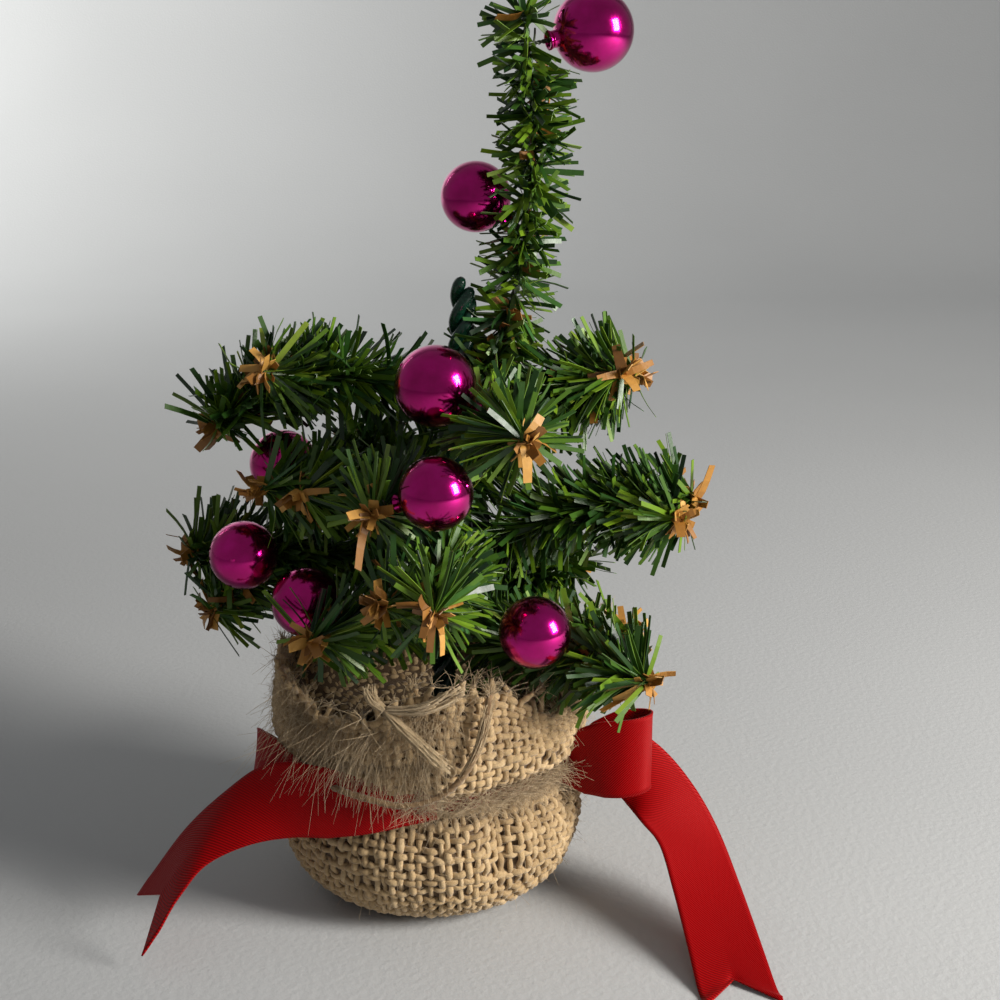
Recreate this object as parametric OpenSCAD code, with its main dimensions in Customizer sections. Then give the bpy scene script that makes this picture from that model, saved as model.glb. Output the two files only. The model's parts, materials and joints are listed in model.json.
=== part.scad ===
// Small tabletop tree: wire branches with flat strip needles on a twisted trunk,
// hung with glass balls, standing in a weighted burlap bag tied with twine and ribbon.
// Millimetres, +Z up, origin at the centre of the flat face it stands on.

/* [Bag] */
// Widest radius of the bag's lower pouch
pouch_r = 40; // [36:1:48]
// Radius of the rounded side of the pouch
pouch_round_r = 18; // [16:0.5:20]
// Outer radius of the bag where it is tied
neck_r = 30; // [25:1:33]
// Height of the rim of the bag
rim_h = 55; // [50:1:56]
// Outer radius of the bag's overhanging upper part
skirt_r = 41; // [38:1:45]
// Thickness of the gathered burlap
burlap_t = 2; // [1:0.25:3]

/* [Weight] */
// Top of the plaster weight
weight_h = 30; // [24:1:31]
// Depth of the trunk in the weight
trunk_depth = 24; // [16:1:26]

/* [Trunk] */
// Height of the cut top end of the trunk
trunk_top_h = 165; // [160:1:198]
// How far the trunk's top stands to the side of its foot
trunk_lean = 10; // [0:1:14]
// Diameter of one of the three strands of the trunk
strand_d = 3.2; // [2.4:0.2:4]
// Height of the wire wraps that hold the branches
wrap_h = 3.6; // [2.4:0.2:5]

/* [Branches] */
// Diameter of a branch's twisted wire
wire_d = 1.6; // [1.2:0.1:2.2]
// Radius of the needles next to the trunk
needle_r_in = 3.4; // [2.6:0.2:4]
// Radius of the needles near the tip
needle_r_out = 6.8; // [5:0.2:8]
// Radius of the needles on the upright top garland
garland_r = 6.8; // [5:0.2:8]
// Length of the top garland
garland_len = 92; // [70:1:110]

/* [Balls] */
// Diameter of the larger glass balls
ball_d = 19.5; // [16:0.5:21]
// Diameter of the smaller glass balls
small_ball_d = 17.5; // [14.5:0.5:21]
// Glass thickness of a ball
glass_t = 0.6; // [0.4:0.1:1]
// Diameter of a ball's hanging wire
hanger_d = 0.8; // [0.6:0.1:1]

/* [Ribbon] */
// Width of the satin ribbon
ribbon_w = 19; // [15:1:22]
// Thickness of the ribbon
ribbon_t = 0.6; // [0.4:0.1:1]

/* [Twine] */
// Diameter of the jute twine
twine_d = 1.6; // [1.2:0.1:2]

/* [Hidden] */
gap = 0.3;                                   // clearance between soft pieces
twine_gap = 0.1;                             // between turns of twine and what they hold
fine = 48;                                   // facets asked for on round pieces

// --- bag and weight
crease_w = 4.5;                              // height of the neck between pouch and skirt
flare_h = 5;                                 // height over which the skirt flares out
tie_above = 1.5;                             // from the pouch to the lower turn of twine
pouch_core_r = pouch_r - pouch_round_r;      // radius of the flat foot
pouch_top_h = 2 * pouch_round_r;             // top of the pouch's rounded side
neck_rise = sqrt(pow(pouch_round_r, 2) - pow(neck_r - pouch_core_r, 2));
neck_h = pouch_round_r + neck_rise;          // where the pouch meets the neck
crease_h = neck_h + crease_w;                // where the skirt starts to flare
skirt_low_h = crease_h + flare_h;            // lowest height of full skirt width
tie_h = neck_h + tie_above;                  // height of the twine round the neck
trunk_foot_h = weight_h - trunk_depth;
bore_clearance = 0.4;
flare_in = 1.5;                              // the skirt is this much narrower where it flares
round_rise = 5;                              // height of the rounding above the flare
lining_drop = 2;                             // how far the skirt's hollow side runs under it

// --- trunk
lean_angle = atan(trunk_lean / trunk_top_h);
strand_offset = strand_d / sqrt(3);          // strands touch each other
trunk_r = strand_offset + strand_d / 2;
wrap_t = 1.5;                                // thickness of a wrap
wrap_play = 0.05;                            // between a wrap and the trunk
wrap_r = trunk_r + wrap_t;
root_d = 2.4;                                // elbow where a branch leaves its wrap
root_w = 3;
root_gap = 0.1;
root_r = wrap_r + root_d / 2 + root_gap;     // hinge axis to trunk axis

// --- branches: distance below the trunk's top, bearing, rise at root, rise at tip, length
BRANCHES = [
    [ 97,  -32,  14, -14, 54],
    [ 73,    4,  26,  -2, 59],
    [ 43,   14,  36,   0, 44],
    [ 39,  -70,  26,  -8, 43],
    [ 57, -114,  24,  -8, 39],
    [ 77,  -92,  20,  -4, 51],
    [ 89, -131,  18,  -6, 43],
    [ 65, -168,  27,   2, 44],
    [ 81,  171,  16, -10, 64],
    [ 35,  176,  33, -47, 61],
    [ 61,   76,  32,   0, 50],
    [ 69,  122,  28,  -4, 50],
    [ 93,   52,  14, -12, 52],
];
GARLAND = [30, 0, 68, 100, garland_len];
bare_len = 8;                                // wire left bare at the root
tuft_over = 3;                               // needles reach past the wire's tip
tuft_close = 4;                              // stretch of wire over which the tuft closes
tuft_less = 2.6;                             // how much narrower the tuft is at its end
full_share = 0.6;                            // share of the wire where needles reach full size
sleeve_bore = 0.4;                           // between a wire and the needles round it
twig_share = 0.9;                            // diameter of a twig's wire, share of wire_d
twig_start = 12;                             // wire of a twig left bare at its root
twig_less = 1;                               // twig needles are this much shorter
sleeve_sides = 10;
sleeve_step = 7;

// --- side twigs: branch, place along it, turn sideways, drop, length
TWIGS = [
    [ 0, 24,  34,   6, 22],
    [ 1, 34, -28, -10, 22],
    [ 2, 24, -38,   6, 18],
    [ 5, 26, -36,  -6, 22],
    [ 7, 20,  38,   4, 20],
    [ 8, 34,  10, -38, 30],
    [ 9, 24,  34,   8, 22],
    [10, 24,  36,   0, 24],
    [11, 24,  34,  -8, 24],
    [12, 26,  38,  -4, 26],
];

// --- balls: branch (-1 is the garland), place along it, turn round the wire, lean
// along the wire, space between wire and glass, size (0 large, 1 small). The balls of
// one branch run outwards from its root.
BALLS = [
    [-1, 40,  32,  20,  7.75, 1],
    [-1, 84, 160,   4,  7.25, 0],
    [ 3, 19, -55,   0,  5.75, 0],
    [ 4, 33,  70,   0,  6.25, 1],
    [ 2, 14,  90,   0,  7.25, 1],
    [ 7, 36, -80,   4,  6.25, 1],
    [ 8, small_ball_d + 26.5, 78, 0, 7.25, 1],
    [ 6, 30, -80,   0,  6.25, 1],
    [ 0, 30, -57,   3, 11.25, 1],
];
ball_gap = 8;                                // half the bare wire at a ball
ring_clearance = 0.35;
ring_r = wire_d / 2 + ring_clearance + hanger_d / 2;
ball_neck_d = 4.4;
ball_neck_h = 3;
neck_sunk = 0.6;                             // how far a ball's neck runs into the sphere
plug_play = 0.05;                            // between the hanger's plug and the neck
plug_in = 0.5;                               // the plug starts this far inside the neck

// --- ribbon tails: bearing, distance out from the pouch, height as a share of the
// neck's, direction of the half width, share of the ribbon's width that lies open
LEFT_TAIL = [
    [ -90,    -1, 1.06, [ 0, 2,  3], 0.38],
    [-106,     3, 1.08, [ 0, 1,  4], 0.43],
    [-121.5,   6, 1.06, [ 0, 2,  5], 0.57],
    [-137.5,  10, 1.03, [ 1, 4,  8], 1],
    [-145,    21, 0.88, [ 2, 5,  7], 1],
    [-147.5,  31, 0.65, [ 0, 7,  5], 0.9],
    [-148,    38, 0.41, [-2, 8,  3], 1],
];
RIGHT_TAIL = [
    [ -10,     7, 1.06, [ 1, 2,  8], 1],
    [ -10.5,  15, 1,    [ 2, 4,  7], 1],
    [ -14,    23, 0.82, [ 5, 5,  3], 1],
    [ -16.5,  31, 0.59, [ 8, 4, -1], 1],
    [ -24.5,  38, 0.38, [ 8, 3, -1], 1],
    [ -32,    46, 0.16, [ 9, 3,  0], 1],
    [ -36.5,  54, 0.08, [ 9, 1,  0], 1],
];
notch_depth = 9;                             // swallowtail cut
tip_reach = 6;

// --- loose end of the twine, from the tie over the front of the bag
TWINE_ROUTE = [
    [-18.5, -26.2, 38.7], [-22, -31, 39.6], [-23.6, -34.5, 41.2], [-22.5, -38, 43],
    [-18.5, -41.6, 43.3], [-12, -43.2, 42], [-5, -44, 41], [3, -44, 43],
    [9, -44, 48], [13, -43, 55], [15, -42, 62], [16, -41, 69],
];

BRANCH_NAMES = [
    "low_right", "right", "upper_right", "upper_front", "middle_front", "front",
    "low_front_left", "left", "long_left", "upper_left", "upper_back", "back", "low_back",
];
BALL_NAMES = [
    "garland_left", "top", "upper_front", "middle_front", "upper_right",
    "left", "long_left", "low_left", "low_front",
];
BASE_NODES = [
    "base_weight", "burlap_pouch", "burlap_skirt", "neck_twine", "twine_loose_end",
    "ribbon_band", "ribbon_knot", "ribbon_loop_right", "ribbon_loop_left",
    "ribbon_tail_right", "ribbon_tail_left", "trunk", "branch_wraps",
    "garland_wire", "garland_needles",
];

// --- geometry helpers
function trunk_x(h) = trunk_lean * h / trunk_top_h;
function root_h(b) = trunk_top_h - b[0];
function unit(v) = v / norm(v);
function bend(b) = b[2] - b[3];
function arc_r(b) = b[4] * 180 / PI / bend(b);   // signed: positive droops
function rise_at(b, s) = b[2] - bend(b) * s / b[4];
// point on a branch in its own plane: [outwards, up]
function reach_at(b, s) = arc_r(b) * (sin(b[2]) - sin(rise_at(b, s)));
function lift_at(b, s) = arc_r(b) * (cos(rise_at(b, s)) - cos(b[2]));

module at_root(b) {
    translate([trunk_x(root_h(b)), 0, root_h(b)]) rotate([0, 0, b[1]])
        translate([root_r, 0, 0]) children();
}

// frame on a branch: x along the wire, z away from it
module on_branch(b, s) {
    at_root(b) translate([reach_at(b, s), 0, lift_at(b, s)]) rotate([0, -rise_at(b, s), 0])
        children();
}

// --- bag, weight and twine
module pouch_outline(inset) {
    translate([0, inset]) square([pouch_core_r, pouch_top_h - 2 * inset]);
    translate([pouch_core_r, pouch_round_r]) circle(r = pouch_round_r - inset, $fn = fine);
}

module base_weight() {
    color("gainsboro") difference() {
        rotate_extrude($fn = fine) intersection() {
            pouch_outline(burlap_t + gap);
            square([pouch_r, weight_h]);
        }
        translate([trunk_x(trunk_foot_h), 0, trunk_foot_h]) rotate([0, lean_angle, 0])
            cylinder(r = trunk_r + bore_clearance, h = trunk_depth + 10, $fn = fine);
    }
}

module burlap_pouch() {
    color("tan") rotate_extrude($fn = fine) difference() {
        pouch_outline(0);
        pouch_outline(burlap_t);
        translate([0, pouch_round_r]) square([neck_r - burlap_t, pouch_top_h]);
        translate([0, neck_h]) square([pouch_r, pouch_top_h]);
        translate([-pouch_r, 0]) square([pouch_r, pouch_top_h]);
    }
}

module burlap_skirt() {
    inner_neck_r = neck_r - burlap_t;
    inner_r = skirt_r - burlap_t;
    color("burlywood") rotate_extrude($fn = fine) polygon([
        [inner_neck_r, neck_h], [neck_r, neck_h], [neck_r, crease_h],
        [skirt_r - flare_in, skirt_low_h], [skirt_r, skirt_low_h + round_rise],
        [skirt_r, rim_h], [inner_r, rim_h], [inner_r, skirt_low_h + round_rise],
        [inner_r - lining_drop, skirt_low_h + flare_in], [inner_neck_r, crease_h + 1],
    ]);
}

module neck_twine() {
    color("peru") for (turn = [0, 1])
        translate([0, 0, tie_h + turn * (twine_d + twine_gap)]) rotate_extrude($fn = fine)
            translate([neck_r + twine_d / 2 + twine_gap, 0]) circle(d = twine_d, $fn = 24);
}

// tube swept along points; each ring faces the mean of the two directions beside it
module tube(points, d, sides) {
    last = len(points) - 1;
    function heading(i) = unit(points[min(i + 1, last)] - points[max(i - 1, 0)]);
    function side_of(i) = unit(cross(heading(i), [0.1, 0.9, 0.4]));
    function ring(i) = let (s = side_of(i), u = cross(s, heading(i)))
        [for (k = [0 : sides - 1])
            points[i] + d / 2 * (s * cos(k * 360 / sides) + u * sin(k * 360 / sides))];
    walls = [for (i = [0 : last - 1], k = [0 : sides - 1])
        let (a = i * sides + k, b = i * sides + (k + 1) % sides)
            each [[a, a + sides, b], [b, a + sides, b + sides]]];
    ends = [[for (k = [0 : sides - 1]) k], [for (k = [sides - 1 : -1 : 0]) last * sides + k]];
    polyhedron(points = [for (i = [0 : last]) each ring(i)], faces = concat(walls, ends));
}

// smooth curve through chosen points, with extra points between each pair
function between(p, i, t) = let (
    a = p[max(i - 1, 0)], b = p[i], c = p[i + 1], e = p[min(i + 2, len(p) - 1)])
    0.5 * (2 * b + (c - a) * t + (2 * a - 5 * b + 4 * c - e) * t * t
        + (3 * b - a - 3 * c + e) * t * t * t);
function smooth(p, parts) = concat(
    [for (i = [0 : len(p) - 2], k = [0 : parts - 1]) between(p, i, k / parts)],
    [p[len(p) - 1]]);

module twine_loose_end() {
    color("peru") tube(smooth(TWINE_ROUTE, 3), twine_d, 8);
}

// --- ribbon
band_t = 2 * ribbon_t;                       // the ribbon runs doubled in the crease
band_r = neck_r + twine_d + 0.8;
band_low_h = neck_h + 0.2;
band_high_h = crease_h - 1.2;
knot_d = 6.5;
knot_w = 8;
knot_bearing = -76;
knot_r = band_r + band_t + knot_d / 2 + 0.2;
knot_h = neck_h + knot_d / 2 + 0.2;
knot_turn = 9;                               // bearing from the knot's middle to its side
feed_r = band_r + band_t + 0.5;              // ribbon leading from the knot to a loop

module ribbon_band() {
    color("firebrick") rotate_extrude($fn = fine) translate([band_r, band_low_h])
        square([band_t, band_high_h - band_low_h]);
}

module ribbon_knot() {
    color("firebrick") rotate([0, 0, knot_bearing]) translate([knot_r, 0, knot_h])
        rotate([90, 0, 0]) cylinder(d = knot_d, h = knot_w, center = true, $fn = 32);
}

// ribbon running in the crease, from one bearing to another
module crease_strip(from, to) {
    rotate([0, 0, from]) rotate_extrude(angle = to - from, $fn = fine)
        translate([feed_r, band_low_h]) square([band_t, band_high_h - band_low_h]);
}

// plan of a teardrop loop: points out and back round its wide end
function teardrop(length, width, inset) = [for (k = [0 : 35])
    let (a = k * 10)
        [length / 2 - (length / 2 - inset) * cos(a),
         (width / 2 - inset) * sin(a) * max(sin(a / 2), stem_share)]];

stem_share = 0.05;
loop_bearing = -29;
loop_swing = 28;                             // the loop turns back from straight outwards
loop_len = 24;
loop_width = 12;
loop_out = 1.5;                              // the loop starts this far outside the skirt
loop_drop = 1;                               // its lower edge lies this far under the band

module ribbon_loop_right() {
    color("red") {
        crease_strip(knot_bearing + knot_turn, loop_bearing);
        rotate([0, 0, loop_bearing]) translate([feed_r, 0, band_low_h])
            cube([skirt_r + 2 * loop_out - feed_r, band_t, band_high_h - band_low_h]);
        rotate([0, 0, loop_bearing])
            translate([skirt_r + loop_out, 0, band_low_h - loop_drop])
                rotate([0, 0, loop_swing]) linear_extrude(ribbon_w) difference() {
                    polygon(teardrop(loop_len, loop_width, 0));
                    polygon(teardrop(loop_len, loop_width, band_t));
                }
    }
}

nub_from = -176;                             // bearings of the small left loop
nub_turn = 40;
nub_t = 5;
nub_end = 3;                                 // closed stretch at each end of it

module ribbon_loop_left() {
    color("red") difference() {
        rotate([0, 0, nub_from]) rotate_extrude(angle = nub_turn, $fn = fine)
            translate([feed_r, band_low_h]) square([nub_t, band_high_h - band_low_h]);
        rotate([0, 0, nub_from + nub_end])
            rotate_extrude(angle = nub_turn - 2 * nub_end, $fn = fine)
                translate([feed_r + band_t, 0]) square([nub_t - 2 * band_t, pouch_top_h * 2]);
    }
}

// flat strip through stations round the bag, ending in a swallowtail
module strip(stations) {
    mids = smooth([for (s = stations) let (r = pouch_r + s[1])
        [r * cos(s[0]), r * sin(s[0]), s[2] * neck_h]], 3);
    halves = smooth([for (s = stations) unit(s[3]) * s[4] * ribbon_w / 2], 3);
    last = len(mids) - 1;
    function heading(i) = unit(mids[min(i + 1, last)] - mids[max(i - 1, 0)]);
    function face(i) = unit(cross(heading(i), halves[i])) * ribbon_t / 2;
    function end_shift(i, across) = i < last ? [0, 0, 0]
        : heading(last) * (abs(across) == 1 ? tip_reach : tip_reach - notch_depth);
    rows = [for (i = [0 : last], side = [-1, 1], across = [-1, 0, 1])
        mids[i] + end_shift(i, across) + halves[i] * across + face(i) * side];
    function at(i, side, across) = i * 6 + side * 3 + across;
    long_faces = [for (i = [0 : last - 1], c = [0, 1])
        each [
            [at(i, 0, c), at(i, 0, c + 1), at(i + 1, 0, c)],
            [at(i, 0, c + 1), at(i + 1, 0, c + 1), at(i + 1, 0, c)],
            [at(i, 1, c), at(i + 1, 1, c), at(i, 1, c + 1)],
            [at(i, 1, c + 1), at(i + 1, 1, c), at(i + 1, 1, c + 1)],
        ]];
    edges = [for (i = [0 : last - 1]) each [
        [at(i, 0, 0), at(i + 1, 0, 0), at(i, 1, 0)],
        [at(i, 1, 0), at(i + 1, 0, 0), at(i + 1, 1, 0)],
        [at(i, 0, 2), at(i, 1, 2), at(i + 1, 0, 2)],
        [at(i, 1, 2), at(i + 1, 1, 2), at(i + 1, 0, 2)],
    ]];
    ends = [for (c = [0, 1]) each [
        [at(0, 0, c), at(0, 1, c), at(0, 0, c + 1)],
        [at(0, 1, c), at(0, 1, c + 1), at(0, 0, c + 1)],
        [at(last, 0, c), at(last, 0, c + 1), at(last, 1, c)],
        [at(last, 1, c), at(last, 0, c + 1), at(last, 1, c + 1)],
    ]];
    polyhedron(points = rows, faces = concat(long_faces, edges, ends));
}

module ribbon_tail_right() {
    color("red") strip(RIGHT_TAIL);
}

module ribbon_tail_left() {
    color("red") strip(LEFT_TAIL);
}

// --- trunk
module trunk() {
    length = (trunk_top_h - trunk_foot_h) / cos(lean_angle);
    color("darkgreen") translate([trunk_x(trunk_foot_h), 0, trunk_foot_h])
        rotate([0, lean_angle, 0]) linear_extrude(length) {
            for (k = [0 : 2]) rotate(k * 120) translate([strand_offset, 0])
                circle(d = strand_d, $fn = 24);
            circle(r = strand_offset, $fn = 24);
        }
}

// a short ring of wire wound round the trunk at the foot of each branch
module branch_wraps() {
    color("green") for (b = concat(BRANCHES, [GARLAND]))
        translate([trunk_x(root_h(b)), 0, root_h(b)]) rotate([0, lean_angle, 0]) difference() {
            cylinder(r = wrap_r, h = wrap_h, center = true, $fn = fine);
            cylinder(r = trunk_r + wrap_play, h = wrap_h + 1, center = true, $fn = fine);
        }
}

// --- branches
module bent_wire(b) {
    r = abs(arc_r(b));
    droops = bend(b) > 0;
    start = droops ? 90 + b[3] : b[2] - 90;
    at_root(b) {
        translate([arc_r(b) * sin(b[2]), 0, -arc_r(b) * cos(b[2])]) rotate([90, 0, 0])
            rotate([0, 0, start]) rotate_extrude(angle = abs(bend(b)), $fn = 96)
                translate([r, 0]) circle(d = wire_d, $fn = 24);
        rotate([90, 0, 0]) cylinder(d = root_d, h = root_w, center = true, $fn = 24);
    }
}

function needle_r(b, s, r_out) =
    needle_r_in + (r_out - needle_r_in) * min(1, s / (full_share * b[4]))
    - tuft_less * max(0, (s - b[4] + tuft_close) / (tuft_over + tuft_close));

// hollow round sleeve of needles along a stretch of a branch
module sleeve(b, from, to, r_out) {
    steps = max(2, ceil((to - from) / sleeve_step));
    n = sleeve_sides;
    bore = wire_d / 2 + sleeve_bore;
    function place(k, r, j) = let (
        s = from + (to - from) * k / steps, e = rise_at(b, s), t = j * 360 / n)
        [reach_at(b, s) - r * cos(t) * sin(e), r * sin(t), lift_at(b, s) + r * cos(t) * cos(e)];
    outer = [for (k = [0 : steps], j = [0 : n - 1])
        place(k, needle_r(b, from + (to - from) * k / steps, r_out), j)];
    inner = [for (k = [0 : steps], j = [0 : n - 1]) place(k, bore, j)];
    shift = len(outer);
    function pair(k, j) = [k * n + j, k * n + (j + 1) % n];
    walls = [for (k = [0 : steps - 1], j = [0 : n - 1]) let (p = pair(k, j))
        each [
            [p[0], p[1], p[0] + n], [p[1], p[1] + n, p[0] + n],
            [p[0] + shift, p[0] + n + shift, p[1] + shift],
            [p[1] + shift, p[0] + n + shift, p[1] + n + shift],
        ]];
    rims = [for (j = [0 : n - 1]) let (p = pair(0, j), q = pair(steps, j))
        each [
            [p[0], p[0] + shift, p[1]], [p[1], p[0] + shift, p[1] + shift],
            [q[0], q[1], q[0] + shift], [q[1], q[1] + shift, q[0] + shift],
        ]];
    at_root(b) polyhedron(points = concat(outer, inner), faces = concat(walls, rims));
}

// places where a branch's needles stop for a ball's ring
function stops(i) = [for (q = BALLS) if (q[0] == i) q[1]];

module needle_sleeves(b, i, r_out) {
    cuts = stops(i);
    starts = concat([bare_len], [for (c = cuts) c + ball_gap]);
    finishes = concat([for (c = cuts) c - ball_gap], [b[4] + tuft_over]);
    for (k = [0 : len(cuts)])
        if (finishes[k] - starts[k] > 2) sleeve(b, starts[k], finishes[k], r_out);
}

module on_twig(w) {
    on_branch(BRANCHES[w[0]], w[1]) rotate([0, 0, w[2]]) rotate([0, -w[3], 0]) children();
}

module branch_wire(i) {
    color("darkolivegreen") {
        bent_wire(BRANCHES[i]);
        for (w = TWIGS) if (w[0] == i) on_twig(w) rotate([0, 90, 0])
            cylinder(d = twig_share * wire_d, h = w[4], $fn = 24);
    }
}

module branch_needles(i) {
    twigs = [for (w = TWIGS) if (w[0] == i) w];
    color("forestgreen") {
        difference() {
            needle_sleeves(BRANCHES[i], i, needle_r_out);
            for (w = twigs) on_twig(w) rotate([0, 90, 0])
                cylinder(r = wire_d / 2 + gap, h = w[4] + tuft_over, $fn = 24);
        }
        for (w = twigs) on_twig(w) rotate([0, 90, 0]) rotate_extrude($fn = 32)
            polygon([
                [wire_d / 2 + gap, twig_start], [needle_r_in, twig_start],
                [needle_r_out - twig_less, w[4] - 2], [needle_r_in, w[4] + tuft_over],
                [wire_d / 2 + gap, w[4] + tuft_over],
            ]);
    }
}

module garland_wire() {
    color("darkolivegreen") bent_wire(GARLAND);
}

module garland_needles() {
    color("forestgreen") needle_sleeves(GARLAND, -1, garland_r);
}

// --- balls: z runs from the branch wire out to the ball
function ball_size(q) = q[5] == 0 ? ball_d : small_ball_d;
function ball_reach(q) = q[4] + ball_size(q) / 2;
function neck_start(q) = q[4] - ball_neck_h + neck_sunk;

module at_ball(q) {
    b = q[0] < 0 ? GARLAND : BRANCHES[q[0]];
    on_branch(b, q[1]) rotate([-q[2], 0, 0]) rotate([0, q[3], 0]) children();
}

module glass_ball(k) {
    q = BALLS[k];
    r = ball_size(q) / 2;
    color("mediumvioletred") at_ball(q) rotate_extrude($fn = fine) difference() {
        union() {
            translate([0, ball_reach(q)]) circle(r = r, $fn = fine);
            translate([0, neck_start(q)]) square([ball_neck_d / 2, ball_neck_h + 2]);
        }
        translate([0, ball_reach(q)]) circle(r = r - glass_t, $fn = fine);
        translate([0, neck_start(q) - 1]) square([ball_neck_d / 2 - glass_t, ball_neck_h + 4]);
        translate([-ball_d * 2, -ball_d]) square([ball_d * 2, ball_d * 4]);
    }
}

module ball_hanger(k) {
    q = BALLS[k];
    b = q[0] < 0 ? GARLAND : BRANCHES[q[0]];
    color("dimgray") {
        on_branch(b, q[1]) rotate([0, 90, 0]) rotate_extrude($fn = fine)
            translate([ring_r, 0]) circle(d = hanger_d, $fn = 16);
        at_ball(q) translate([0, 0, ring_r])
            cylinder(d = hanger_d, h = neck_start(q) + ball_neck_h - ring_r, $fn = 16);
        at_ball(q) translate([0, 0, neck_start(q) + plug_in])
            cylinder(r = ball_neck_d / 2 - glass_t - plug_play, h = ball_neck_h - 2 * plug_in,
                $fn = 24);
    }
}

base_weight();
burlap_pouch();
burlap_skirt();
neck_twine();
twine_loose_end();
ribbon_band();
ribbon_knot();
ribbon_loop_right();
ribbon_loop_left();
ribbon_tail_right();
ribbon_tail_left();
trunk();
branch_wraps();
garland_wire();
garland_needles();
for (i = [0 : len(BRANCHES) - 1]) {
    branch_wire(i);
    branch_needles(i);
}
for (k = [0 : len(BALLS) - 1]) {
    glass_ball(k);
    ball_hanger(k);
}
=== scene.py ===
import json
import math

import bpy
import numpy as np
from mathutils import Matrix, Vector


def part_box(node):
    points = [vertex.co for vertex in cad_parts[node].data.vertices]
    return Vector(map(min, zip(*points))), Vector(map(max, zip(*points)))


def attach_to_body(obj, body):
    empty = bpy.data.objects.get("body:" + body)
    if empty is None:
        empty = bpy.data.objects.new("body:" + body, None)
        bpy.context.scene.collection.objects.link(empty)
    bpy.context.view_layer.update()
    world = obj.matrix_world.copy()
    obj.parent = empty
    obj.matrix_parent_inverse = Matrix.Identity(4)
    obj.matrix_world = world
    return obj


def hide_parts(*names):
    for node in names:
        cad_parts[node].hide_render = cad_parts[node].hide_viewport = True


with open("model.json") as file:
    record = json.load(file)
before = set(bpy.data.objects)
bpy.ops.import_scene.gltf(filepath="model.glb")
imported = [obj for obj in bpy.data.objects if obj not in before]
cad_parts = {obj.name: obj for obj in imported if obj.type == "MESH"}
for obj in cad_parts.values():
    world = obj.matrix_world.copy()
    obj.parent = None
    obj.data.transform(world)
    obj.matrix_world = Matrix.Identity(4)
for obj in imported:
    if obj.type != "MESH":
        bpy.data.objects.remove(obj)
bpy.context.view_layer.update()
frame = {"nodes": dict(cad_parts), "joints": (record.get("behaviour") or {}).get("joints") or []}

MM = 0.001
UP = np.array([0.0, 0.0, 1.0])
JOINTS = {j["name"]: j for j in frame["joints"]}


# ---------------------------------------------------------------- camera, floor, light

def look_at(obj, target):
    direction = np.array(target) - np.array(obj.location)
    yaw = math.atan2(-direction[0], direction[1])
    pitch = math.atan2(direction[2], math.hypot(direction[0], direction[1]))
    obj.rotation_euler = (math.pi / 2 + pitch, 0, yaw)


def make_camera():
    """A close, slightly raised view of the front of the tree."""
    target = np.array([18.5, 0, 105]) * MM
    distance, elevation = 420 * MM, math.radians(17)
    data = bpy.data.cameras.new("camera")
    data.lens, data.sensor_width = 59, 36
    data.clip_start, data.clip_end = 0.01, 20
    cam = bpy.data.objects.new("camera", data)
    bpy.context.collection.objects.link(cam)
    back = np.array([0, -math.cos(elevation), math.sin(elevation)])
    cam.location = target + distance * back
    look_at(cam, target)
    bpy.context.scene.camera = cam


def area_light(name, place, target, size, power, colour):
    data = bpy.data.lights.new(name, "AREA")
    data.shape, data.energy, data.color = "RECTANGLE", power, colour
    data.size, data.size_y = size
    lamp = bpy.data.objects.new(name, data)
    bpy.context.collection.objects.link(lamp)
    lamp.location = place
    look_at(lamp, target)


def make_light():
    middle = (0.0, 0.0, 0.10)
    area_light("window", (0.76, -0.32, 0.40), middle, (0.26, 0.38), 14, (1.0, 0.97, 0.92))
    area_light("wall_wash", (-0.80, 0.80, 0.62), (-0.45, 1.3, 0.3), (0.4, 0.4), 8, (1.0, 1.0, 0.98))
    world = bpy.data.worlds.new("room")
    world.use_nodes = True
    sky = world.node_tree.nodes["Background"]
    sky.inputs["Color"].default_value = (0.97, 0.98, 1.0, 1)
    sky.inputs["Strength"].default_value = 0.22
    bpy.context.scene.world = world
    bpy.context.scene.view_settings.view_transform = "Standard"


# ---------------------------------------------------------------- mesh helpers

def add_mesh(name, points, faces, material, smooth=False):
    """A mesh object from points and faces; faces may be arrays of triangles or quads."""
    mesh = bpy.data.meshes.new(name)
    mesh.from_pydata(np.asarray(points).tolist(), [], [list(map(int, f)) for f in faces])
    mesh.materials.append(material)
    if smooth:
        mesh.shade_smooth()
    obj = bpy.data.objects.new(name, mesh)
    bpy.context.collection.objects.link(obj)
    return obj


def point_attribute(obj, name, values):
    layer = obj.data.attributes.new(name, "FLOAT", "POINT")
    layer.data.foreach_set("value", np.asarray(values, dtype=np.float32).ravel())


def vector_attribute(obj, name, values):
    layer = obj.data.attributes.new(name, "FLOAT_VECTOR", "POINT")
    layer.data.foreach_set("vector", np.asarray(values, dtype=np.float32).ravel())


class Bunch:
    """Collects many small meshes into one."""

    def __init__(self):
        self.points, self.faces, self.tones, self.count = [], [], [], 0

    def add(self, points, faces, tone=0.5):
        points = np.asarray(points, dtype=float).reshape(-1, 3)
        self.points.append(points)
        self.faces += [[int(i) + self.count for i in f] for f in faces]
        self.tones.append(np.broadcast_to(tone, (len(points),)).astype(float))
        self.count += len(points)

    def build(self, name, material, smooth=True):
        obj = add_mesh(name, np.concatenate(self.points), self.faces, material, smooth)
        point_attribute(obj, "tone", np.concatenate(self.tones))
        return obj


def attach(piece, body, slot, *stands_for):
    """Ties a piece to its body, in place of the CAD nodes it stands for; slot is not used."""
    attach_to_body(piece, body)
    if stands_for:
        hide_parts(*stands_for)


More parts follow.
